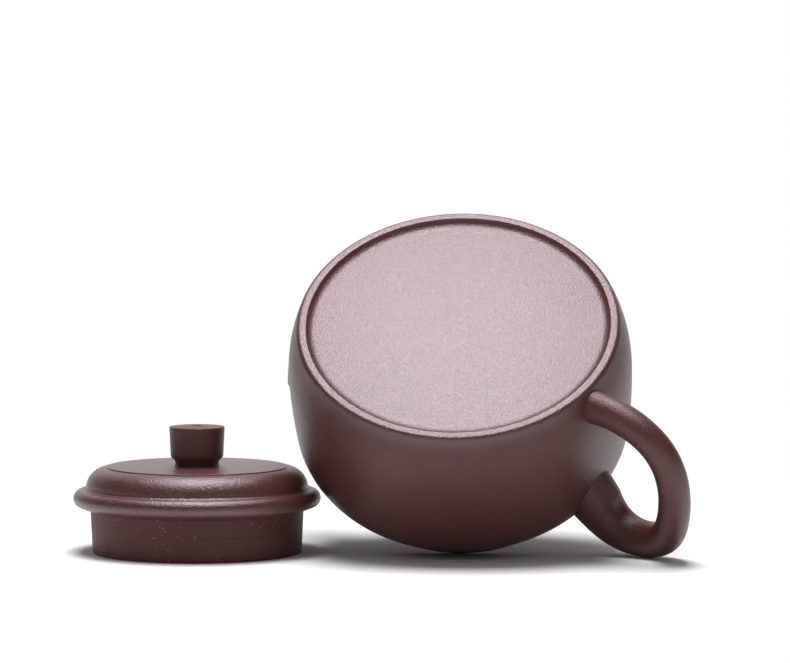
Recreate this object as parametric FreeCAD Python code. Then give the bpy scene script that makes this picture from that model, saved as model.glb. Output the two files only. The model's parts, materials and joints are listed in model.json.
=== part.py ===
import FreeCAD, Part
import math
import os

# A round clay teapot with its lid taken off. The pot lies tipped on its mouth ring and handle with its
# foot towards the viewer, and the lid stands beside it. Every piece is made upright about its own axis,
# in millimetres, and is then set down on the table. In the pot's own frame the handle is at +X.

# Pot wall: a foot edge, a bulge, a straight upper wall that leans in and a round shoulder
body_radius = 49.7
foot_inset = 3.4
widest_height = 17.9
wall_lean = 3.1
wall_straight = 17.0
shoulder_radius = 19.0
wall_thickness = 3.2
shoulder_joint_turn = 30.0

# Foot ring and base
foot_land_width = 2.5
foot_edge_radius = 0.7
foot_recess = 1.4
foot_cove_width = 2.5
base_thickness = 4.8
base_rim_width = 2.6
inside_corner_size = 4.0

# Roll of clay round the mouth, and its twin round the lid, set in from the widest part of the pot
roll_inset = 13.7
roll_width = 5.0
mouth_seat_width = 1.3
mouth_ring_under_radius = 2.8
mouth_ring_under_turn = 60.0

# Handle: a loop of round clay, thicker towards its upper root
handle_root_low = 7.3
handle_root_high = 44.4
handle_out = 26.3
handle_low_run = 12.0
handle_low_dip = 3.35
handle_low_corner_rise = 1.5
handle_back_rise = 32.4
handle_high_corner_rise = 6.8
handle_high_corner_inset = 6.0
handle_crest_rise = 10.2
handle_crest_run = 5.7
handle_root_sink = 3.0
handle_root_run = 9.0
handle_low_radius = 4.8
handle_thin_radius = 4.3
handle_back_radius = 4.75
handle_crest_radius = 5.2
handle_high_radius = 6.7
handle_ring_count = 9

# Spout: a short upright tapering tube that ends just below the mouth
spout_root_height = 24.0
spout_root_radius = 12.0
spout_waist_radius = 7.4
spout_tip_radius = 5.2
spout_root_wall = 2.8
spout_tip_wall = 1.6
spout_tip_out = 10.0
spout_tip_rise = 3.5
spout_bend_out = 5.5
spout_bend_rise = 11.0
spout_root_sink = 6.0
spout_end_run = 5.0
spout_ring_count = 5
strainer_hole_radius = 1.7
strainer_circle_radius = 5.0
strainer_hole_count = 6

# Lid, in its own frame with the lower edge of the flange at height 0
flange_height = 12.2
flange_taper = 0.6
flange_thickness = 2.8
flange_edge_chamfer = 0.5
lid_clearance = 0.3
lid_bead_rise = 3.55
lid_bead_under_radius = 2.4
lid_bead_under_turn = 65.0
lid_bead_top_radius = 2.6
lid_plate_inset = 3.7
lid_plate_round = 6.0
lid_plate_rise = 3.0
lid_plate_thickness = 3.2
lid_cove_radius = 1.0
lid_disc_raise = 0.3
knob_top_radius = 8.06
knob_belly_radius = 7.65
knob_neck_radius = 6.35
knob_foot_flare = 0.4
knob_neck_height = 1.5
knob_chamfer_height = 1.3
knob_height = 11.5
knob_crown = 0.35
vent_radius = 1.4

# How the pieces lie on the table
pot_tilt = 139.6
pot_turn = -3.7
pot_forward = 16.2
lid_gap = 0.5
facet = 0.05

# Derived places of the wall's bulge and shoulder arcs, with the straight wall tangent to both
foot_radius = body_radius - foot_inset
bulge_radius = (foot_inset ** 2 + widest_height ** 2) / (2 * foot_inset)
bulge_center = (body_radius - bulge_radius, widest_height)
lean_cos = math.cos(math.radians(wall_lean))
lean_sin = math.sin(math.radians(wall_lean))
center_shift = bulge_radius - shoulder_radius
shoulder_center = (bulge_center[0] + center_shift * lean_cos - wall_straight * lean_sin,
                   bulge_center[1] + center_shift * lean_sin + wall_straight * lean_cos)
roll_radius = body_radius - roll_inset
mouth_turn = math.degrees(math.acos((roll_radius - shoulder_center[0]) / shoulder_radius))
mouth_seat_height = shoulder_center[1] + shoulder_radius * math.sin(math.radians(mouth_turn))

# Derived sizes where one piece seats on another
flange_radius = roll_radius - roll_width
mouth_bore_radius = flange_radius + lid_clearance
floor_height = foot_recess + base_thickness
base_disc_radius = foot_radius - base_rim_width
land_inner_radius = foot_radius - foot_land_width
cove_inner_radius = land_inner_radius - foot_cove_width
spout_tip_height = mouth_seat_height + spout_tip_rise
flange_low_radius = flange_radius - flange_taper
flange_inner_radius = flange_low_radius - flange_thickness
lid_equator_height = flange_height + lid_bead_rise
lid_bead_center = (roll_radius - lid_bead_top_radius, lid_equator_height)
lid_disc_radius = roll_radius - lid_plate_inset - lid_plate_round
lid_round_center = (lid_disc_radius, lid_equator_height + lid_plate_rise)
lid_top_height = lid_round_center[1] + lid_plate_round
lid_face_height = lid_top_height + lid_disc_raise
knob_top_height = lid_face_height + knob_height

# Derived hollow sweep of the lid, which touches the roll and the plate's round from outside
to_bead = (lid_bead_center[0] - lid_round_center[0], lid_bead_center[1] - lid_round_center[1])
to_bead_span = math.hypot(*to_bead)
round_reach = lid_plate_round + lid_cove_radius
bead_reach = lid_bead_top_radius + lid_cove_radius
along = (round_reach ** 2 - bead_reach ** 2 + to_bead_span ** 2) / (2 * to_bead_span)
round_turn = math.degrees(math.atan2(to_bead[1], to_bead[0]) + math.acos(along / round_reach))
lid_cove_center = (lid_round_center[0] + round_reach * math.cos(math.radians(round_turn)),
                   lid_round_center[1] + round_reach * math.sin(math.radians(round_turn)))
bead_turn = math.degrees(math.atan2(lid_cove_center[1] - lid_bead_center[1],
                                    lid_cove_center[0] - lid_bead_center[0]))


def at(radius, height):
    return FreeCAD.Vector(radius, 0, height)


def polar(center, radius, turn):
    angle = math.radians(turn)
    return at(center[0] + radius * math.cos(angle), center[1] + radius * math.sin(angle))


def line(start, end):
    return Part.LineSegment(start, end).toShape()


def arc(center, radius, start_turn, end_turn):
    middle_turn = (start_turn + end_turn) / 2
    start = polar(center, radius, start_turn)
    middle = polar(center, radius, middle_turn)
    return Part.Arc(start, middle, polar(center, radius, end_turn)).toShape()


def chain(points):
    return [line(start, end) for start, end in zip(points, points[1:])]


def turned(edges):
    wire = Part.Wire(Part.__sortEdges__(edges))
    solid = Part.Face(wire).revolve(at(0, 0), FreeCAD.Vector(0, 0, 1), 360)
    return solid if solid.Volume > 0 else solid.reversed()


# Turn angle at which the bulge arc passes a height
def turn_at_height(height):
    return math.degrees(math.asin((height - widest_height) / bulge_radius))


# Radius of the bulge arc at a height
def wall_radius_at(height):
    return polar(bulge_center, bulge_radius, turn_at_height(height)).x


# Wall curve from a start turn on the bulge arc to an end turn on the shoulder arc
def wall_curve(inset, start_turn, end_turn):
    bulge_arc = arc(bulge_center, bulge_radius - inset, start_turn, wall_lean)
    straight = line(polar(bulge_center, bulge_radius - inset, wall_lean),
                    polar(shoulder_center, shoulder_radius - inset, wall_lean))
    shoulder = arc(shoulder_center, shoulder_radius - inset, wall_lean, end_turn)
    return [bulge_arc, straight, shoulder]


# Centre of a corner round that touches a level plane and the bulge arc from inside
def corner_center(inset, plane_height, round_radius):
    height = plane_height + round_radius
    reach = bulge_radius - inset - round_radius
    across = math.sqrt(reach ** 2 - (height - widest_height) ** 2)
    return (bulge_center[0] + across, height)


# Turn at which such a corner round meets the bulge arc
def corner_turn(center):
    return math.degrees(math.atan2(center[1] - bulge_center[1], center[0] - bulge_center[0]))


def make_base_disc():
    corners = [at(0, foot_recess), at(base_disc_radius, foot_recess),
               at(base_disc_radius, floor_height), at(0, floor_height)]
    return turned(chain(corners + corners[:1]))


def make_foot_ring():
    edge_center = corner_center(0, 0, foot_edge_radius)
    edge_turn = corner_turn(edge_center)
    top_turn = turn_at_height(floor_height)
    top = polar(bulge_center, bulge_radius, top_turn)
    cove_radius = (foot_cove_width ** 2 + foot_recess ** 2) / (2 * foot_recess)
    cove_center = (cove_inner_radius, foot_recess - cove_radius)
    cove_turn = math.degrees(math.atan2(-cove_center[1], foot_cove_width))
    edges = [line(at(land_inner_radius, 0), at(edge_center[0], 0)),
             arc(edge_center, foot_edge_radius, -90, edge_turn),
             arc(bulge_center, bulge_radius, edge_turn, top_turn),
             arc(cove_center, cove_radius, 90, cove_turn)]
    edges += chain([top, at(base_disc_radius, floor_height), at(base_disc_radius, foot_recess),
                    at(cove_inner_radius, foot_recess)])
    return turned(edges)


def make_body_wall(spout_axis):
    bottom_turn = turn_at_height(floor_height)
    corner = corner_center(wall_thickness, floor_height, inside_corner_size)
    inner_turn = corner_turn(corner)
    edges = wall_curve(0, bottom_turn, shoulder_joint_turn)
    edges += wall_curve(wall_thickness, inner_turn, shoulder_joint_turn)
    edges += chain([polar(bulge_center, bulge_radius - wall_thickness, inner_turn),
                    at(corner[0], floor_height), polar(bulge_center, bulge_radius, bottom_turn)])
    edges.append(line(polar(shoulder_center, shoulder_radius, shoulder_joint_turn),
                      polar(shoulder_center, shoulder_radius - wall_thickness, shoulder_joint_turn)))
    return turned(edges).cut(make_strainer_drills(spout_axis))


def make_shoulder_disc():
    inner_radius = shoulder_radius - wall_thickness
    inner_end = polar(shoulder_center, inner_radius, mouth_turn)
    edges = [arc(shoulder_center, shoulder_radius, shoulder_joint_turn, mouth_turn),
             arc(shoulder_center, inner_radius, shoulder_joint_turn, mouth_turn),
             line(polar(shoulder_center, shoulder_radius, shoulder_joint_turn),
                  polar(shoulder_center, inner_radius, shoulder_joint_turn))]
    edges += chain([inner_end, at(mouth_bore_radius, inner_end.z),
                    at(mouth_bore_radius, mouth_seat_height), at(roll_radius, mouth_seat_height)])
    return turned(edges)


def make_mouth_ring():
    under_center = (roll_radius - mouth_ring_under_radius,
                    mouth_seat_height
                    + mouth_ring_under_radius * math.sin(math.radians(mouth_ring_under_turn)))
    top_radius = roll_radius - mouth_bore_radius - mouth_seat_width
    top_center = (roll_radius - top_radius, under_center[1])
    under_end = polar(under_center, mouth_ring_under_radius, -mouth_ring_under_turn)
    top_end = polar(top_center, top_radius, 90)
    edges = [arc(under_center, mouth_ring_under_radius, -mouth_ring_under_turn, 0),
             arc(top_center, top_radius, 0, 90)]
    edges += chain([top_end, at(mouth_bore_radius, top_end.z),
                    at(mouth_bore_radius, mouth_seat_height), under_end])
    return turned(edges)


# The whole space inside the outer wall, to trim what is joined to it
def make_wall_block():
    top = polar(shoulder_center, shoulder_radius, mouth_turn)
    edges = wall_curve(0, turn_at_height(0), mouth_turn)
    edges += chain([top, at(0, mouth_seat_height), at(0, 0), at(foot_radius, 0)])
    return turned(edges)


# Smooth curve in the upright plane through the pot's axis, from its control points
def pole_curve(poles):
    curve = Part.BSplineCurve()
    curve.buildFromPoles([at(across, up) for across, up in poles])
    return curve


# Round solid along a curve in the upright plane, its radius eased between the given stations.
# Both ends run on straight past the curve, to be trimmed by what they are joined to.
def tapered_tube(curve, stations, ring_count, end_run):
    radius_curve = pole_curve(list(enumerate(stations)))
    sideways = FreeCAD.Vector(0, 1, 0)
    stops = [(index / (ring_count - 1), 0) for index in range(ring_count)]
    rings = []
    for share, run in [(0, -end_run)] + stops + [(1, end_run)]:
        ahead = curve.tangent(share)[0]
        turn = FreeCAD.Rotation(sideways, ahead.cross(sideways), ahead, "ZXY")
        ring = Part.Circle(FreeCAD.Vector(), FreeCAD.Vector(0, 0, 1), radius_curve.value(share).z).toShape()
        ring.Placement = FreeCAD.Placement(curve.value(share) + ahead * run, turn)
        rings.append(Part.Wire(ring))
    return Part.makeLoft(rings, True)


def make_handle(wall_block):
    low_start = wall_radius_at(handle_root_low) - handle_root_sink
    high_end = body_radius - handle_root_sink
    reach = body_radius + handle_out
    poles = [(low_start, handle_root_low),
             (low_start + handle_low_run, handle_root_low - handle_low_dip),
             (reach, handle_root_low + handle_low_corner_rise),
             (reach, handle_root_low + handle_back_rise),
             (reach - handle_high_corner_inset, handle_root_high + handle_high_corner_rise),
             (high_end + handle_crest_run, handle_root_high + handle_crest_rise),
             (high_end, handle_root_high)]
    stations = [handle_low_radius, handle_thin_radius, handle_back_radius,
                handle_crest_radius, handle_high_radius]
    tube = tapered_tube(pole_curve(poles), stations, handle_ring_count, handle_root_run)
    return tube.cut(wall_block)


def spout_curve():
    root = (-(body_radius - wall_thickness - spout_root_sink), spout_root_height)
    bend = (-(body_radius + spout_bend_out), spout_root_height + spout_bend_rise)
    tip = (-(body_radius + spout_tip_out), spout_tip_height)
    return pole_curve([root, bend, tip])


def make_spout(wall_block):
    outer = [spout_root_radius, spout_waist_radius, spout_tip_radius]
    walls = [spout_root_wall, (spout_root_wall + spout_tip_wall) / 2, spout_tip_wall]
    inner = [radius - wall for radius, wall in zip(outer, walls)]
    curve = spout_curve()
    bore = tapered_tube(curve, inner, spout_ring_count, spout_end_run)
    tube = tapered_tube(curve, outer, spout_ring_count, spout_end_run).cut(bore)
    span = 2 * (body_radius + spout_tip_out + spout_root_radius)
    above = Part.makeBox(span, span, span, FreeCAD.Vector(-span, -span / 2, spout_tip_height))
    return tube.cut(wall_block).cut(above)


# Straight drills for the strainer behind the spout, one in the middle and a circle round it
def make_strainer_drills(curve):
    root = curve.value(0)
    ahead = curve.tangent(0)[0]
    length = spout_root_sink + 2 * wall_thickness + spout_root_radius
    offsets = [(0.0, 0.0)]
    for index in range(strainer_hole_count):
        angle = 2 * math.pi * index / strainer_hole_count
        offsets.append((strainer_circle_radius * math.cos(angle), strainer_circle_radius * math.sin(angle)))
    turn = FreeCAD.Rotation(FreeCAD.Vector(0, 0, 1), ahead)
    drills = []
    for across, along in offsets:
        start = root + turn.multVec(FreeCAD.Vector(across, along, 0))
        drills.append(Part.makeCylinder(strainer_hole_radius, length, start, ahead))
    return Part.makeCompound(drills)


def vent_drill():
    return Part.makeCylinder(vent_radius, 2 * knob_top_height)


def make_lid_flange():
    corners = [at(flange_inner_radius, 0), at(flange_low_radius - flange_edge_chamfer, 0),
               at(flange_low_radius, flange_edge_chamfer), at(flange_radius, flange_height),
               at(flange_inner_radius, flange_height)]
    return turned(chain(corners + corners[:1]))


# Where the plate is luted to the roll, at the top of the hollow sweep
def lid_joint():
    return polar(lid_round_center, lid_plate_round, round_turn)


def make_lid_bead():
    under_center = (roll_radius - lid_bead_under_radius, lid_equator_height)
    joint = lid_joint()
    under_end = polar(under_center, lid_bead_under_radius, -lid_bead_under_turn)
    edges = [arc(under_center, lid_bead_under_radius, -lid_bead_under_turn, 0),
             arc(lid_bead_center, lid_bead_top_radius, 0, bead_turn),
             arc(lid_cove_center, lid_cove_radius, bead_turn + 180, round_turn + 180)]
    edges += chain([joint, at(flange_inner_radius, joint.z), at(flange_inner_radius, flange_height),
                    at(flange_radius, flange_height), under_end])
    return turned(edges)


def make_lid_plate():
    inner_top = lid_top_height - lid_plate_thickness
    joint = lid_joint()
    edges = [arc(lid_round_center, lid_plate_round, round_turn, 90)]
    edges += chain([at(lid_disc_radius, lid_top_height), at(0, lid_top_height),
                    at(0, inner_top), at(lid_disc_radius, inner_top),
                    at(flange_inner_radius, joint.z), joint])
    return turned(edges).cut(vent_drill())


def make_lid_disc():
    corners = [at(0, lid_top_height), at(lid_disc_radius, lid_top_height),
               at(lid_disc_radius, lid_face_height), at(0, lid_face_height)]
    return turned(chain(corners + corners[:1])).cut(vent_drill())


def make_knob():
    neck_top = lid_face_height + knob_neck_height
    belly = neck_top + knob_chamfer_height
    crown_radius = (knob_top_radius ** 2 + knob_crown ** 2) / (2 * knob_crown)
    crown_center = (0, knob_top_height + knob_crown - crown_radius)
    edge_turn = math.degrees(math.atan2(knob_top_height - crown_center[1], knob_top_radius))
    edges = [arc(crown_center, crown_radius, edge_turn, 90)]
    edges += chain([at(0, knob_top_height + knob_crown), at(0, lid_face_height),
                    at(knob_neck_radius + knob_foot_flare, lid_face_height),
                    at(knob_neck_radius, lid_face_height + knob_foot_flare),
                    at(knob_neck_radius, neck_top), at(knob_belly_radius, belly),
                    at(knob_top_radius, knob_top_height)])
    return turned(edges).cut(vent_drill())


def make_pot():
    wall_block = make_wall_block()
    return {"base_disc": make_base_disc(),
            "foot_ring": make_foot_ring(),
            "body_wall": make_body_wall(spout_curve()),
            "shoulder_disc": make_shoulder_disc(),
            "mouth_ring": make_mouth_ring(),
            "handle": make_handle(wall_block),
            "spout": make_spout(wall_block)}


def make_lid():
    return {"lid_flange": make_lid_flange(),
            "lid_bead": make_lid_bead(),
            "lid_plate": make_lid_plate(),
            "lid_disc": make_lid_disc(),
            "knob": make_knob()}


def surface_points(pieces):
    points = []
    for piece in pieces:
        points += piece.tessellate(facet)[0]
    return points


# Turn of the tipped pot: spun about its own axis, tipped over and turned on the table
def pot_rotation(spin):
    upright = FreeCAD.Vector(0, 0, 1)
    tipped = FreeCAD.Rotation(FreeCAD.Vector(1, 0, 0), -pot_tilt)
    return FreeCAD.Rotation(upright, pot_turn).multiply(tipped).multiply(FreeCAD.Rotation(upright, spin))


def lowest(points, rotation):
    return min(rotation.multVec(point).z for point in points)


# Spin at which the handle reaches the table just as the mouth does
def resting_spin(pot):
    handle = surface_points([pot["handle"]])
    body = surface_points([pot["mouth_ring"], pot["shoulder_disc"], pot["body_wall"]])
    least, most = 0.0, 90.0
    while most - least > 1e-5:
        spin = (least + most) / 2
        rotation = pot_rotation(spin)
        if lowest(handle, rotation) > lowest(body, rotation):
            least = spin
        else:
            most = spin
    return (least + most) / 2


# Widest the lid is at a height
def lid_radius_at(height):
    if height < flange_height:
        return flange_radius
    if height < lid_equator_height + lid_bead_top_radius:
        return roll_radius
    if height < lid_joint().z:
        return lid_cove_center[0] - math.sqrt(lid_cove_radius ** 2 - (lid_cove_center[1] - height) ** 2)
    rise = min(height - lid_round_center[1], lid_plate_round)
    return lid_disc_radius + math.sqrt(lid_plate_round ** 2 - rise ** 2)


# Place of the lid's axis left of the pot, a gap clear of it all the way up to the lid's top face
def lid_place(pot_points):
    places = []
    for point in pot_points:
        reach = lid_radius_at(point.z) + lid_gap
        if point.z < lid_face_height and abs(point.y) < reach:
            places.append(point.x - math.sqrt(reach ** 2 - point.y ** 2))
    return min(places)


def main():
    os.makedirs("parts", exist_ok=True)
    pot = make_pot()
    lid = make_lid()
    rotation = pot_rotation(resting_spin(pot))
    drop = -lowest(surface_points(pot.values()), rotation)
    for piece in pot.values():
        piece.Placement = FreeCAD.Placement(FreeCAD.Vector(0, -pot_forward, drop), rotation)
    lid_x = lid_place(surface_points(pot.values()))
    for piece in lid.values():
        piece.Placement = FreeCAD.Placement(FreeCAD.Vector(lid_x, 0, 0), FreeCAD.Rotation())
    pieces = {**pot, **lid}
    points = surface_points(pieces.values())
    middle_x = (min(p.x for p in points) + max(p.x for p in points)) / 2
    middle_y = (min(p.y for p in points) + max(p.y for p in points)) / 2
    for name, piece in pieces.items():
        piece.translate(FreeCAD.Vector(-middle_x, -middle_y, 0))
        piece.exportStep("parts/" + name + ".step")
        box = piece.BoundBox
        print(name, len(piece.Solids), piece.isValid(), round(piece.Volume, 1),
              [round(value, 2) for value in (box.XMin, box.XMax, box.YMin, box.YMax, box.ZMin, box.ZMax)])


main()
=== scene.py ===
import json
import math

import bmesh
import bpy
from mathutils import Matrix, Vector, noise


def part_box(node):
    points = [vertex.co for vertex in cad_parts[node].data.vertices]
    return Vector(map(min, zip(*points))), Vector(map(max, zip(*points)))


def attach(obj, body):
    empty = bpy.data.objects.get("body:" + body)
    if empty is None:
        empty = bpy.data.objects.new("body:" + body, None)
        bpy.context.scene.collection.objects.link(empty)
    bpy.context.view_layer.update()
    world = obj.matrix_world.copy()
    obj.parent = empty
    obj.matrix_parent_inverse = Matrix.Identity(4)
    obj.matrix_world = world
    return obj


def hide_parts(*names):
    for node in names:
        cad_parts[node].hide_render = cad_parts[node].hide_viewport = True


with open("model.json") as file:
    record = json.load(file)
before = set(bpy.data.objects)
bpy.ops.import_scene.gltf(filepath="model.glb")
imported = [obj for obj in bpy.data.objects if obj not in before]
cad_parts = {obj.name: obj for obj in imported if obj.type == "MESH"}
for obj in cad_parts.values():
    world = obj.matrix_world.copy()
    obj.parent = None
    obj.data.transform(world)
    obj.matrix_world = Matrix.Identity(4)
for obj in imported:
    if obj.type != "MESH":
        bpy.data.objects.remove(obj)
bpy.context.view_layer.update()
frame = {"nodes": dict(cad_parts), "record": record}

MM = 0.001
SEGMENTS = 192

# Pot wall in the pot's own frame, millimetres: bulge, nearly straight wall, shoulder
BULGE = (0.88, 17.9, 48.82)
UPPER = (-150.3, 17.9, 200.0)
SHOULDER = (29.74, 36.49, 19.0)
UPPER_TURN = 5.9
JOINT_TURN = 30.0
MOUTH_TURN = 70.75
WALL = 3.2
TOE_HEIGHT = 4.0
TOE_RUN = 3.6

# Foot and base
BASE_HEIGHT = 1.4
FLOOR_HEIGHT = 6.2
BASE_RADIUS = 43.1
LAND_INNER = 43.8
LAND_OUTER = 45.95
FOOT_EDGE_HEIGHT = 0.8
FOOT_OVERLAP = 0.3
COVE_INNER = 41.3
COVE_RADIUS = 2.93
COVE_TURN = 31.5

# Roll round the mouth, its seat and the mouth's bore
ROLL_RADIUS = 36.0
MOUTH_BORE = 31.3
SEAT_HEIGHT = 54.43
MOUTH_UNDER = 2.8
MOUTH_TOP = 3.4
MOUTH_RISE = 2.425
MOUTH_UNDER_TURN = 60.0

# Lid, with its lower edge at height 0
FLANGE_LOW = 30.4
FLANGE_HIGH = 31.0
FLANGE_INNER = 27.6
FLANGE_HEIGHT = 12.2
BEAD_UNDER = (33.6, 15.75, 2.4)
BEAD_TOP = (33.4, 15.75, 2.6)
PLATE_ROUND = (26.3, 18.75, 6.0)
PLATE_THICK = 3.2
LID_SWEEP = (33.274, 19.348, 1.0)
UNDER_TURN = 65.0
BEAD_TURN = 92.0
ROUND_TURN = 4.90
LID_TOP = 24.75
DISC_RADIUS = 26.3
DISC_RAISE = 0.3
KNOB_TOP = 36.55
KNOB_FOOT = 6.75
KNOB_NECK = 6.35
KNOB_NECK_HEIGHT = 1.5
KNOB_BELLY = 7.65
KNOB_BELLY_HEIGHT = 2.8
KNOB_RIM = 8.06
KNOB_CROWN = 7.7
KNOB_DOME = 0.35
VENT = 1.4

# Handle and spout centre lines (distance from the axis, height) and radii along them
HANDLE_POLES = [(44.66, 7.3), (56.66, 3.95), (76.0, 8.8), (76.0, 39.7), (70.0, 51.2),
                (52.4, 54.6), (46.7, 44.4)]
HANDLE_RADII = [4.8, 4.3, 4.75, 5.2, 6.7]
SPOUT_POLES = [(-40.5, 24.0), (-55.2, 35.0), (-59.7, 57.93)]
SPOUT_RADII = [12.0, 7.4, 5.2]
SPOUT_WALLS = [2.8, 2.2, 1.6]
SPOUT_LIP = 57.93
STRAINER_RADIUS = 1.7
STRAINER_CIRCLE = 5.0
STRAINER_COUNT = 6
DRILL_LENGTH = 24.0
DRILL_SIDES = 24

# Tubes of the handle and spout: sides of a ring, depth of their ends in the wall
TUBE_SIDES = 72
ROOT_SINK = 0.4
HANDLE_STEPS = 150
HANDLE_EASE_START = 95
HANDLE_FLARE = 1.1
SPOUT_STEPS = 60

# Rounding of the spout's lip: distance in from a face, drop below the lip
LIP_ROUND = [(0.0, 0.5), (0.06, 0.25), (0.2, 0.07), (0.45, 0.0)]

# Clay colours, and the height in metres over which the foot's shine fades into the wall's
CLAY = (0.096, 0.0315, 0.0275)
PALE_SAND = (0.42, 0.27, 0.19, 1)
FOOT_FADE = 0.005

# Floor: half its width in millimetres, and the distances in metres between which it turns plain white
FLOOR_REACH = 40000
FLOOR_FADE = (0.13, 0.3)

# Dark card, in millimetres and degrees
CARD_RADIUS = 1900
CARD_HEIGHT = 3000
CARD_SPAN = 280
CARD_STEPS = 24

# Camera: place from the lid's middle and the floor in millimetres, dip and width of view in degrees
CAMERA_FROM_LID = (57.552, -1565.12, 178.86)
CAMERA_DIP = 4.189
CAMERA_ANGLE = 8.357


# Points of an arc about (across, up), turns in degrees
def arc(center, radius, start, end, steps=24):
    turns = [math.radians(start + (end - start) * step / steps) for step in range(steps + 1)]
    return [(center[0] + radius * math.cos(turn), center[1] + radius * math.sin(turn)) for turn in turns]


# Closed outline from arcs and corners; a corner is (across, up, reach of its rounding)
def outline(*items):
    marks = []
    for item in items:
        marks += [(*point, 0) for point in item] if isinstance(item, list) else [item]
    points = []
    for index, (across, up, reach) in enumerate(marks):
        here = Vector((across, up))
        before = Vector(marks[index - 1][:2]) - here
        after = Vector(marks[(index + 1) % len(marks)][:2]) - here
        if reach == 0:
            points.append((across, up))
            continue
        start = here + before.normalized() * reach
        end = here + after.normalized() * reach
        for step in range(6):
            share = step / 5
            point = start * (1 - share) ** 2 + here * 2 * share * (1 - share) + end * share ** 2
            points.append((point.x, point.y))
    return points


# Outer or inner wall curve of the pot between two heights of turn on the shoulder arc
def wall_arcs(inset, start, end):
    points = []
    if start < 0:
        points += arc(BULGE, BULGE[2] - inset, start, 0, 30)
        points += arc(UPPER, UPPER[2] - inset, 0, UPPER_TURN, 24)[1:]
        start = UPPER_TURN
    return points + arc(SHOULDER, SHOULDER[2] - inset, start, end, 30)[1 if points else 0:]


def bulge_turn(height, inset=0.0):
    return math.degrees(math.asin((height - BULGE[1]) / (BULGE[2] - inset)))


# Radius of the pot's outside at a height
def wall_radius(height):
    if height < BULGE[1]:
        center = BULGE
    elif height < SHOULDER[1] + SHOULDER[2] * math.sin(math.radians(UPPER_TURN)):
        center = UPPER
    else:
        center = SHOULDER
    return center[0] + math.sqrt(max(center[2] ** 2 - (height - center[1]) ** 2, 0.0))


def make_object(name, verts, faces):
    mesh = bpy.data.meshes.new(name)
    mesh.from_pydata([tuple(value * MM for value in vert) for vert in verts], [], faces)
    work = bmesh.new()
    work.from_mesh(mesh)
    bmesh.ops.recalc_face_normals(work, faces=work.faces)
    work.to_mesh(mesh)
    work.free()
    obj = bpy.data.objects.new(name, mesh)
    bpy.context.scene.collection.objects.link(obj)
    return obj


def smooth(obj, angle=38):
    obj.data.shade_smooth()
    obj.data.set_sharp_from_angle(angle=math.radians(angle))


# Solid of revolution from a closed outline, a touch uneven as if turned and beaten by hand
def lathe(name, points, uneven=0.05):
    verts = []
    rings = []
    for across, up in points:
        if across < 1e-6:
            rings.append([len(verts)])
            verts.append((0, 0, up))
            continue
        rings.append(list(range(len(verts), len(verts) + SEGMENTS)))
        for step in range(SEGMENTS):
            turn = 2 * math.pi * step / SEGMENTS
            place = Vector((math.cos(turn), math.sin(turn), up / 30)) * 1.3
            radius = across + uneven * noise.noise(place)
            verts.append((radius * math.cos(turn), radius * math.sin(turn), up))
    faces = []
    for low, high in zip(rings, rings[1:] + rings[:1]):
        for step in range(SEGMENTS):
            following = (step + 1) % SEGMENTS
            if len(low) == 1 and len(high) == 1:
                break
            if len(low) == 1:
                faces.append((low[0], high[following], high[step]))
            elif len(high) == 1:
                faces.append((low[step], low[following], high[0]))
            else:
                faces.append((low[step], low[following], high[following], high[step]))
    obj = make_object(name, verts, faces)
    smooth(obj)
    return obj


# Point of a clamped smooth curve through control points of any size
def spline(poles, share, degree=3):
    degree = min(degree, len(poles) - 1)
    spans = len(poles) - degree
    knots = [0.0] * degree + [span / spans for span in range(spans + 1)] + [1.0] * degree
    last = len(poles) - 1
    span = max(index for index in range(degree, last + 1) if knots[index] <= share or index == degree)
    work = [Vector(poles[index]) for index in range(span - degree, span + 1)]
    for level in range(1, degree + 1):
        for index in range(degree, level - 1, -1):
            left = knots[span - degree + index]
            right = knots[span + 1 + index - level]
            weight = (share - left) / (right - left)
            work[index] = work[index - 1] * (1 - weight) + work[index] * weight
    return work[degree]


def center_at(poles, share):
    point = spline(poles, share)
    return Vector((point[0], 0, point[1]))


def ahead_at(poles, share):
    low, high = max(share - 1e-4, 0.0), min(share + 1e-4, 1.0)
    return (center_at(poles, high) - center_at(poles, low)).normalized()


def radius_at(radii, share):
    return spline([(value, 0) for value in radii], share)[0]


def ring(center, ahead, radius, count):
    side = Vector((0, 1, 0))
    up = ahead.cross(side)
    turns = [2 * math.pi * step / count for step in range(count)]
    return [center + side * (radius * math.cos(turn)) + up * (radius * math.sin(turn)) for turn in turns]


def clear_of_wall(point):
    return math.hypot(point.x, point.y) - wall_radius(point.z)


# A ring slid along a line until each of its points is sunk in the wall
def sunk_ring(points, into, sink):
    result = []
    for point in points:
        near, far = 0.0, 30.0
        while far - near > 1e-3:
            middle = (near + far) / 2
            if clear_of_wall(point + into * middle) > -sink:
                near = middle
            else:
                far = middle
        result.append(point + into * near)
    return result


# Share of the way along a tube at which its ring has come free of the wall
def free_share(poles, radii, count, start, step):
    share = start
    while True:
        points = ring(center_at(poles, share), ahead_at(poles, share), radius_at(radii, share), count)
        if min(clear_of_wall(point) for point in points) > 0.25:
            return share
        share += step


# Rings past a start eased along the tube, more and more towards the last, so that a tight bend stays smooth
def ease_rings(rings, start):
    last = len(rings) - 1
    for _ in range(60):
        for index in range(start, last):
            weight = 0.5 * (index - start) / (last - start)
            around = zip(rings[index - 1], rings[index], rings[index + 1])
            rings[index] = [here.lerp((before + after) / 2, weight) for before, here, after in around]


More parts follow.
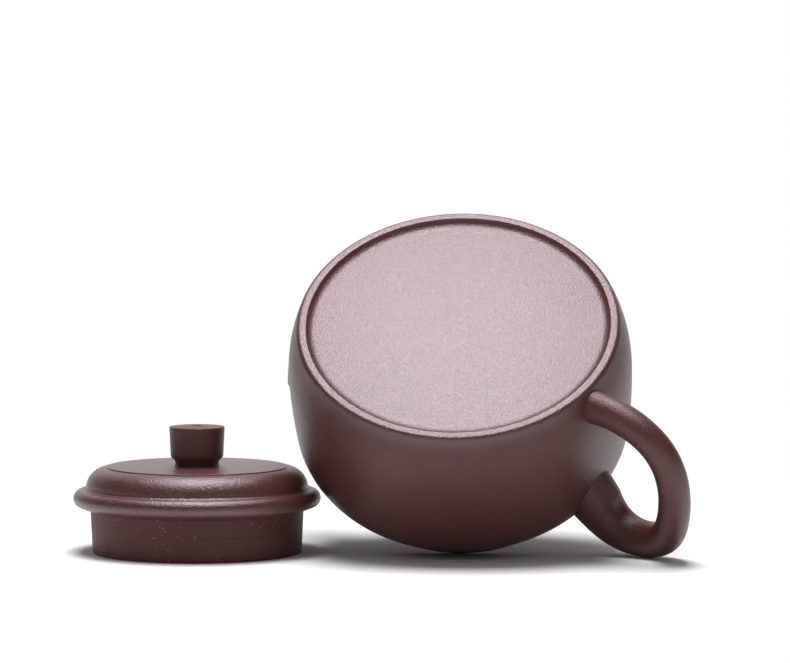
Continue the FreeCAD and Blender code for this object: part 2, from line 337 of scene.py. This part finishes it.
# Skin over a list of rings, closed end to end or capped
def skin(name, rings, loop):
    count = len(rings[0])
    verts = [point for points in rings for point in points]
    faces = []
    pairs = list(zip(range(len(rings)), range(1, len(rings))))
    if loop:
        pairs.append((len(rings) - 1, 0))
    for low, high in pairs:
        for step in range(count):
            following = (step + 1) % count
            faces.append((low * count + step, low * count + following,
                          high * count + following, high * count + step))
    if not loop:
        faces.append(tuple(range(count)))
        faces.append(tuple(range((len(rings) - 1) * count, len(rings) * count)))
    obj = make_object(name, verts, faces)
    smooth(obj)
    return obj


def make_base():
    return lathe("base", outline((0, BASE_HEIGHT, 0), (BASE_RADIUS, BASE_HEIGHT, 0.2),
                                 (BASE_RADIUS, FLOOR_HEIGHT, 0.2), (0, FLOOR_HEIGHT, 0)), uneven=0.0)


def make_foot():
    ledge = BASE_HEIGHT + FOOT_OVERLAP
    edge = arc(BULGE, BULGE[2], bulge_turn(FOOT_EDGE_HEIGHT), bulge_turn(FLOOR_HEIGHT), 12)
    cove = arc((COVE_INNER, BASE_HEIGHT - COVE_RADIUS), COVE_RADIUS, 90, COVE_TURN, 12)
    return lathe("foot", outline((COVE_INNER, ledge, 0), cove[:-1], (LAND_INNER, 0.0, 0.3),
                                 (LAND_OUTER, 0.0, 0.55), edge, (BASE_RADIUS, FLOOR_HEIGHT, 0),
                                 (BASE_RADIUS, ledge, 0)), uneven=0.02)


def strainer_drills():
    root = center_at(SPOUT_POLES, 0)
    ahead = ahead_at(SPOUT_POLES, 0)
    side = Vector((0, 1, 0))
    up = ahead.cross(side)
    places = [root]
    for index in range(STRAINER_COUNT):
        turn = 2 * math.pi * index / STRAINER_COUNT
        places.append(root + (side * math.sin(turn) + up * math.cos(turn)) * STRAINER_CIRCLE)
    verts = []
    faces = []
    count = DRILL_SIDES
    for place in places:
        start = len(verts)
        for end in (place, place + ahead * DRILL_LENGTH):
            verts += ring(end, ahead, STRAINER_RADIUS, count)
        for step in range(count):
            following = (step + 1) % count
            faces.append((start + step, start + following, start + count + following, start + count + step))
        faces.append(tuple(range(start, start + count)))
        faces.append(tuple(range(start + count, start + 2 * count)))
    return make_object("drills", verts, faces)


def make_wall():
    inner = wall_arcs(WALL, bulge_turn(FLOOR_HEIGHT + TOE_HEIGHT, WALL), JOINT_TURN)
    corner = (inner[0][0] - TOE_RUN, FLOOR_HEIGHT, 0)
    outer = wall_arcs(0.0, bulge_turn(FLOOR_HEIGHT), JOINT_TURN)
    wall = lathe("wall", outline(corner, outer, inner[::-1]))
    drills = strainer_drills()
    cut = wall.modifiers.new("strainer", "BOOLEAN")
    cut.object = drills
    cut.solver = "EXACT"
    pierced = bpy.data.meshes.new_from_object(wall.evaluated_get(bpy.context.evaluated_depsgraph_get()))
    wall.modifiers.clear()
    wall.data = pierced
    bpy.data.objects.remove(drills)
    smooth(wall)
    return wall


def make_shoulder():
    outer = wall_arcs(0.0, JOINT_TURN, MOUTH_TURN)
    inner = wall_arcs(WALL, JOINT_TURN, MOUTH_TURN)
    return lathe("shoulder", outline(outer, (MOUTH_BORE, SEAT_HEIGHT, 0), (MOUTH_BORE, inner[-1][1], 0.6),
                                     inner[::-1]))


def make_mouth():
    under = (ROLL_RADIUS - MOUTH_UNDER, SEAT_HEIGHT + MOUTH_RISE)
    top = (ROLL_RADIUS - MOUTH_TOP, under[1])
    return lathe("mouth", outline(arc(under, MOUTH_UNDER, -MOUTH_UNDER_TURN, 0), arc(top, MOUTH_TOP, 0, 90)[1:],
                                  (MOUTH_BORE, top[1] + MOUTH_TOP, 0.4), (MOUTH_BORE, SEAT_HEIGHT, 0)))


# The handle's loop, its ends spread a little and sunk in the wall
def make_handle():
    count = TUBE_SIDES
    start = free_share(HANDLE_POLES, HANDLE_RADII, count, 0.0, 0.004)
    end = free_share(HANDLE_POLES, HANDLE_RADII, count, 1.0, -0.004)
    rings = []
    steps = HANDLE_STEPS
    for step in range(steps + 1):
        share = start + (end - start) * step / steps
        center = center_at(HANDLE_POLES, share)
        flare = HANDLE_FLARE * math.exp(-(steps - step) / 9)
        radius = radius_at(HANDLE_RADII, share) + 0.2 * math.exp(-step / 5) + flare
        radius += 0.06 * noise.noise(center * 0.12)
        center.z -= 0.9 * flare
        rings.append(ring(center, ahead_at(HANDLE_POLES, share), radius, count))
    ease_rings(rings, HANDLE_EASE_START)
    low = sunk_ring(rings[0], -ahead_at(HANDLE_POLES, start), ROOT_SINK)
    high = sunk_ring(rings[-1], ahead_at(HANDLE_POLES, end), ROOT_SINK)
    return skin("handle_loop", [low] + rings + [high], False)


# The spout's tube with its bore and a level, softly rounded lip
def make_spout():
    count = TUBE_SIDES
    steps = SPOUT_STEPS
    bore_radii = [radius - wall for radius, wall in zip(SPOUT_RADII, SPOUT_WALLS)]
    start = free_share(SPOUT_POLES, SPOUT_RADII, count, 0.0, 0.004)
    shares = [start + (1 - start) * step / steps for step in range(steps - 1)]
    lip_ahead = ahead_at(SPOUT_POLES, 1)

    def lip_ring(radius, drop):
        points = ring(center_at(SPOUT_POLES, 1), lip_ahead, radius, count)
        return [point + lip_ahead * ((SPOUT_LIP - drop - point.z) / lip_ahead.z) for point in points]

    def tube(radii):
        return [ring(center_at(SPOUT_POLES, share), ahead_at(SPOUT_POLES, share),
                     radius_at(radii, share), count) for share in shares]

    outer = tube(SPOUT_RADII)
    inner = tube(bore_radii)
    edge, bore = SPOUT_RADII[-1], bore_radii[-1]
    lip = [lip_ring(edge - inset, drop) for inset, drop in LIP_ROUND]
    lip += [lip_ring(bore + inset, drop) for inset, drop in reversed(LIP_ROUND)]
    into = -ahead_at(SPOUT_POLES, start)
    outer_root = sunk_ring(outer[0], into, ROOT_SINK)
    inner_root = sunk_ring(inner[0], into, ROOT_SINK)
    rings = [outer_root] + outer + lip + inner[::-1] + [inner_root]
    return skin("spout_tube", rings, True)


def make_flange():
    return lathe("flange", outline((FLANGE_INNER, 0, 0.5), (FLANGE_LOW, 0, 0.5),
                                   (FLANGE_HIGH, FLANGE_HEIGHT, 0), (FLANGE_INNER, FLANGE_HEIGHT, 0)), uneven=0.03)


def make_bead():
    under = arc(BEAD_UNDER, BEAD_UNDER[2], -UNDER_TURN, 0)
    sweep = arc(LID_SWEEP, LID_SWEEP[2], BEAD_TURN + 180, ROUND_TURN + 180, 16)
    return lathe("bead", outline((FLANGE_INNER, FLANGE_HEIGHT, 0), (FLANGE_HIGH, FLANGE_HEIGHT, 0), under,
                                 arc(BEAD_TOP, BEAD_TOP[2], 0, BEAD_TURN)[1:], sweep[1:],
                                 (FLANGE_INNER, sweep[-1][1], 0)), uneven=0.03)


def make_plate():
    crown = arc(PLATE_ROUND, PLATE_ROUND[2], ROUND_TURN, 90, 32)
    under = LID_TOP - PLATE_THICK
    return lathe("plate", outline(crown, (VENT, LID_TOP, 0), (VENT, under, 0.3), (PLATE_ROUND[0], under, 0.6),
                                  (FLANGE_INNER, crown[0][1], 0)), uneven=0.03)


def make_disc():
    face = LID_TOP + DISC_RAISE
    return lathe("disc", outline((VENT, LID_TOP - 0.1, 0), (DISC_RADIUS, LID_TOP - 0.1, 0),
                                 (DISC_RADIUS, face, 0.16), (VENT, face, 0)), uneven=0.03)


def make_knob():
    foot = LID_TOP + DISC_RAISE
    crown = [(KNOB_CROWN * (1 - step / 12) + VENT * step / 12, KNOB_TOP + KNOB_DOME * (1 - (1 - step / 12) ** 2))
             for step in range(1, 12)]
    return lathe("knob_drum", outline((VENT, foot - 0.05, 0), (KNOB_FOOT, foot - 0.05, 0),
                                      (KNOB_NECK, foot + 0.4, 0.3), (KNOB_NECK, foot + KNOB_NECK_HEIGHT, 0.4),
                                      (KNOB_BELLY, foot + KNOB_BELLY_HEIGHT, 0.5), (KNOB_RIM, KNOB_TOP, 0.35),
                                      crown, (VENT, KNOB_TOP + KNOB_DOME, 0.3)), uneven=0.04)


def link(tree, source, target):
    tree.links.new(source, target)


def new_material(name):
    material = bpy.data.materials.new(name)
    material.use_nodes = True
    return material, material.node_tree, material.node_tree.nodes["Principled BSDF"]


def add_node(tree, kind, **values):
    node = tree.nodes.new(kind)
    for name, value in values.items():
        if hasattr(node, name):
            setattr(node, name, value)
        else:
            node.inputs[name.replace("_", " ").title()].default_value = value
    return node


def ramp(tree, source, stops):
    node = add_node(tree, "ShaderNodeValToRGB")
    elements = node.color_ramp.elements
    while len(elements) < len(stops):
        elements.new(0.5)
    for element, (place, color) in zip(elements, stops):
        element.position = place
        element.color = color if len(color) == 4 else (*color, 1)
    link(tree, source, node.inputs["Fac"])
    return node.outputs["Color"]


def mix(tree, factor, first, second, blend="MIX"):
    node = add_node(tree, "ShaderNodeMix", data_type="RGBA", blend_type=blend)
    sockets = [socket for socket in node.inputs if socket.type == "RGBA"]
    for socket, value in ((node.inputs[0], factor), (sockets[0], first), (sockets[1], second)):
        if isinstance(value, bpy.types.NodeSocket):
            link(tree, value, socket)
        else:
            socket.default_value = value
    return next(socket for socket in node.outputs if socket.type == "RGBA")


def grey(value):
    return (value, value, value, 1)


# Soft window: 1 where a value lies between two limits, fading out over a soft edge
def window(tree, value, low, high, soft):
    sides = []
    for start, end in ((low - soft, low), (high + soft, high)):
        side = add_node(tree, "ShaderNodeMapRange", interpolation_type="SMOOTHSTEP")
        side.inputs["From Min"].default_value = start
        side.inputs["From Max"].default_value = end
        link(tree, value, side.inputs["Value"])
        sides.append(side.outputs["Result"])
    return mix(tree, 1.0, sides[0], sides[1], "MULTIPLY")


# Unglazed purple clay: mottled body, sand grain, pale specks, burnished streaks round the piece's own axis.
# A foot shine, where given, fades into the plain shine above the foot; a mark is a thin tool line in front.
def clay(name, place_frame, specks, streaks, rough, shine, foot_shine=None, mark=None, relief=0.7):
    material, tree, shader = new_material(name)
    place = add_node(tree, "ShaderNodeTexCoord").outputs["Object"]

    def noise_at(scale, detail, rough=0.55, vector=place):
        node = add_node(tree, "ShaderNodeTexNoise", scale=scale, detail=detail, roughness=rough)
        link(tree, vector, node.inputs["Vector"])
        return node.outputs["Fac"]

    mottle = noise_at(55, 4)
    grain = noise_at(2600, 2, 0.7)
    sand = noise_at(1400, 2, 0.6)
    low = tuple(value * 0.9 for value in CLAY)
    high = tuple(value * 1.1 for value in CLAY)
    body = ramp(tree, mottle, [(0.3, low), (0.7, high)])
    body = mix(tree, 0.5, body, ramp(tree, grain, [(0.3, grey(0.7)), (0.7, grey(1.0))]), "MULTIPLY")

    cells = add_node(tree, "ShaderNodeTexVoronoi", scale=820)
    link(tree, place, cells.inputs["Vector"])
    chosen = ramp(tree, cells.outputs["Color"], [(0.3, grey(0)), (0.35, grey(1))])
    dots = ramp(tree, cells.outputs["Distance"], [(0.12, grey(1)), (0.2, grey(0))])
    pale = mix(tree, 1.0, chosen, dots, "MULTIPLY")
    patches = ramp(tree, noise_at(120, 2), [(0.45, grey(0)), (0.6, grey(specks))])
    amount = mix(tree, 1.0, pale, patches, "MULTIPLY")
    body = mix(tree, amount, body, PALE_SAND)

    into = place_frame.inverted()
    upright = add_node(tree, "ShaderNodeMapping")
    upright.inputs["Location"].default_value = into.translation
    upright.inputs["Rotation"].default_value = into.to_euler()
    link(tree, place, upright.inputs["Vector"])
    if mark:
        parts = add_node(tree, "ShaderNodeSeparateXYZ")
        link(tree, upright.outputs["Vector"], parts.inputs["Vector"])
        level, start, end = mark
        scored = mix(tree, 1.0, window(tree, parts.outputs["Z"], level, level + 0.00008, 0.0001),
                     window(tree, parts.outputs["X"], start, end, 0.003), "MULTIPLY")
        scored = mix(tree, 1.0, scored, window(tree, parts.outputs["Y"], -1, 0, 0.001), "MULTIPLY")
        body = mix(tree, scored, body, tuple(value * 0.3 for value in CLAY) + (1,))
    link(tree, body, shader.inputs["Base Color"])
    stretch = add_node(tree, "ShaderNodeMapping")
    stretch.inputs["Scale"].default_value = (25, 25, 900)
    link(tree, upright.outputs["Vector"], stretch.inputs["Vector"])
    lines = noise_at(1.0, 3, 0.6, stretch.outputs["Vector"])
    gloss = ramp(tree, mix(tree, streaks, sand, lines), [(0.25, grey(rough[0])), (0.75, grey(rough[1]))])
    link(tree, gloss, shader.inputs["Roughness"])
    shader.inputs["IOR"].default_value = 1.5
    if foot_shine is None:
        shader.inputs["Specular IOR Level"].default_value = shine
    else:
        parts = add_node(tree, "ShaderNodeSeparateXYZ")
        link(tree, upright.outputs["Vector"], parts.inputs["Vector"])
        fade = add_node(tree, "ShaderNodeMapRange", interpolation_type="SMOOTHSTEP")
        limits = {"From Min": 0.0, "From Max": FOOT_FADE, "To Min": foot_shine, "To Max": shine}
        for socket, value in limits.items():
            fade.inputs[socket].default_value = value
        link(tree, parts.outputs["Z"], fade.inputs["Value"])
        link(tree, fade.outputs["Result"], shader.inputs["Specular IOR Level"])
    shader.inputs["Specular Tint"].default_value = (1.0, 0.87, 0.98, 1)

    height = mix(tree, 0.55, sand, grain)
    height = mix(tree, streaks * 0.5, height, lines)
    bump = add_node(tree, "ShaderNodeBump")
    bump.inputs["Strength"].default_value = relief
    bump.inputs["Distance"].default_value = 0.0004
    link(tree, height, bump.inputs["Height"])
    link(tree, bump.outputs["Normal"], shader.inputs["Normal"])
    return material


# 1 for what the camera sees itself or in a shiny or clear surface, 0 for the light on the object
def background_share(tree):
    path = add_node(tree, "ShaderNodeLightPath")
    share = path.outputs["Is Camera Ray"]
    for kind in ("Is Glossy Ray", "Is Transmission Ray"):
        either = add_node(tree, "ShaderNodeMath", operation="MAXIMUM")
        link(tree, share, either.inputs[0])
        link(tree, path.outputs[kind], either.inputs[1])
        share = either.outputs[0]
    return share


# White floor that keeps the shadow near the object and fades to plain white further out
def floor_material():
    material, tree, shader = new_material("floor_white")
    shader.inputs["Base Color"].default_value = grey(0.93)
    shader.inputs["Roughness"].default_value = 0.9
    shader.inputs["Specular IOR Level"].default_value = 0.1
    place = add_node(tree, "ShaderNodeTexCoord").outputs["Object"]
    away = add_node(tree, "ShaderNodeVectorMath", operation="LENGTH")
    link(tree, place, away.inputs[0])
    far = add_node(tree, "ShaderNodeMapRange", interpolation_type="SMOOTHSTEP")
    far.inputs["From Min"].default_value, far.inputs["From Max"].default_value = FLOOR_FADE
    link(tree, away.outputs["Value"], far.inputs["Value"])
    share = add_node(tree, "ShaderNodeMath", operation="MULTIPLY")
    link(tree, far.outputs["Result"], share.inputs[0])
    link(tree, background_share(tree), share.inputs[1])
    white = add_node(tree, "ShaderNodeEmission")
    blend = add_node(tree, "ShaderNodeMixShader")
    link(tree, share.outputs[0], blend.inputs[0])
    link(tree, shader.outputs[0], blend.inputs[1])
    link(tree, white.outputs[0], blend.inputs[2])
    link(tree, blend.outputs[0], tree.nodes["Material Output"].inputs["Surface"])
    return material


def make_floor():
    reach = FLOOR_REACH
    floor = make_object("floor", [(-reach, -reach, 0), (reach, -reach, 0), (reach, reach, 0), (-reach, reach, 0)],
                        [(0, 1, 2, 3)])
    floor.location.z = -0.05 * MM
    floor.data.materials.append(floor_material())


def make_world():
    world = bpy.data.worlds.new("studio")
    bpy.context.scene.world = world
    world.use_nodes = True
    tree = world.node_tree
    soft = tree.nodes["Background"]
    soft.inputs["Color"].default_value = (0.96, 0.97, 1.0, 1)
    soft.inputs["Strength"].default_value = 0.3
    white = add_node(tree, "ShaderNodeBackground")
    blend = add_node(tree, "ShaderNodeMixShader")
    link(tree, background_share(tree), blend.inputs[0])
    link(tree, soft.outputs[0], blend.inputs[1])
    link(tree, white.outputs[0], blend.inputs[2])
    link(tree, blend.outputs[0], tree.nodes["World Output"].inputs["Surface"])


# Dark curved card round the camera's side, out of every picture, so that the near sides stay deep in tone
def make_card():
    verts = []
    for step in range(CARD_STEPS + 1):
        turn = math.radians(CARD_SPAN * (step / CARD_STEPS - 0.5))
        for height in (0, CARD_HEIGHT):
            verts.append((CARD_RADIUS * math.sin(turn), -CARD_RADIUS * math.cos(turn), height))
    faces = [(2 * step, 2 * step + 2, 2 * step + 3, 2 * step + 1) for step in range(CARD_STEPS)]
    card = make_object("card", verts, faces)
    material, _, shader = new_material("card_dark")
    shader.inputs["Base Color"].default_value = grey(0.03)
    shader.inputs["Roughness"].default_value = 0.9
    card.data.materials.append(material)
    card.visible_camera = False
    card.visible_diffuse = False
    card.visible_shadow = False


def make_softbox(name, place, target, size, power, color):
    data = bpy.data.lights.new(name, "AREA")
    data.shape = "RECTANGLE"
    data.size, data.size_y = size
    data.energy = power
    data.color = color
    lamp = bpy.data.objects.new(name, data)
    lamp.location = place
    lamp.rotation_euler = (Vector(target) - Vector(place)).to_track_quat("-Z", "Y").to_euler()
    bpy.context.scene.collection.objects.link(lamp)


def make_camera():
    data = bpy.data.cameras.new("camera")
    data.sensor_width = 36.0
    data.angle = math.radians(CAMERA_ANGLE)
    data.clip_start, data.clip_end = 0.05, 100
    camera = bpy.data.objects.new("camera", data)
    across, away, up = CAMERA_FROM_LID
    camera.location = (lid_center.x + across * MM, lid_center.y + away * MM, up * MM)
    camera.rotation_euler = (math.radians(90 - CAMERA_DIP), 0, 0)
    bpy.context.scene.collection.objects.link(camera)
    bpy.context.scene.camera = camera


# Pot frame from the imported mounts: origin on the foot plane, third axis foot to mouth, first to the handle
mounts = {mount["name"]: mount for mount in frame["record"]["mounts"]}
pot_axis = Vector(mounts["mouth"]["axis"])
mouth_place = Vector(mounts["mouth"]["pos_m"])
foot_place = Vector(mounts["foot"]["pos_m"])
pot_origin = mouth_place - pot_axis * (mouth_place - foot_place).dot(pot_axis)
pot_side = (pot_origin - foot_place).normalized()
pot_frame = Matrix((pot_side.cross(pot_axis), pot_side, pot_axis)).transposed().to_4x4()
pot_frame.translation = pot_origin
lid_low, lid_high = (Vector(corner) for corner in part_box("lid_flange"))
lid_center = (lid_low + lid_high) / 2
lid_frame = Matrix.Translation((lid_center.x, lid_center.y, 0))

pot_clay = clay("clay_pot", pot_frame, specks=0.15, streaks=0.25, rough=(0.27, 0.38), shine=0.42,
                foot_shine=0.85)
base_clay = clay("clay_base", pot_frame, specks=0.1, streaks=0.0, rough=(0.26, 0.36), shine=0.66, relief=0.4)
loop_clay = clay("clay_loop", pot_frame, specks=0.15, streaks=0.0, rough=(0.27, 0.38), shine=0.5)
lid_clay = clay("clay_lid", lid_frame, specks=0.2, streaks=0.15, rough=(0.25, 0.36), shine=1.0)
knob_clay = clay("clay_knob", lid_frame, specks=0.2, streaks=0.15, rough=(0.3, 0.42), shine=0.35)
flange_clay = clay("clay_flange", lid_frame, specks=0.65, streaks=0.4, rough=(0.45, 0.6), shine=0.3,
                   mark=(0.0069, 0.002, 0.021))

PIECES = [
    (make_base, "base_disc", "pot", base_clay),
    (make_foot, "foot_ring", "pot", pot_clay),
    (make_wall, "body_wall", "pot", pot_clay),
    (make_shoulder, "shoulder_disc", "pot", pot_clay),
    (make_mouth, "mouth_ring", "pot", pot_clay),
    (make_handle, "handle", "pot", loop_clay),
    (make_spout, "spout", "pot", loop_clay),
    (make_flange, "lid_flange", "lid", flange_clay),
    (make_bead, "lid_bead", "lid", lid_clay),
    (make_plate, "lid_plate", "lid", lid_clay),
    (make_disc, "lid_disc", "lid", lid_clay),
    (make_knob, "knob", "lid", knob_clay),
]
for make, node, body, material in PIECES:
    piece = make()
    piece.data.materials.clear()
    piece.data.materials.append(material)
    piece.data.transform(pot_frame if body == "pot" else lid_frame)
    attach(piece, body)
    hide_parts(node)
    frame["nodes"][node].data.materials.clear()
    frame["nodes"][node].data.materials.append(material)

make_floor()
make_world()
make_card()
make_softbox("overhead", place=(-0.03, -0.03, 0.92), target=(-0.03, -0.03, 0.0), size=(0.42, 0.64),
             power=10.2, color=(1.0, 1.0, 1.0))
make_camera()
bpy.context.scene.view_settings.view_transform = "Standard"
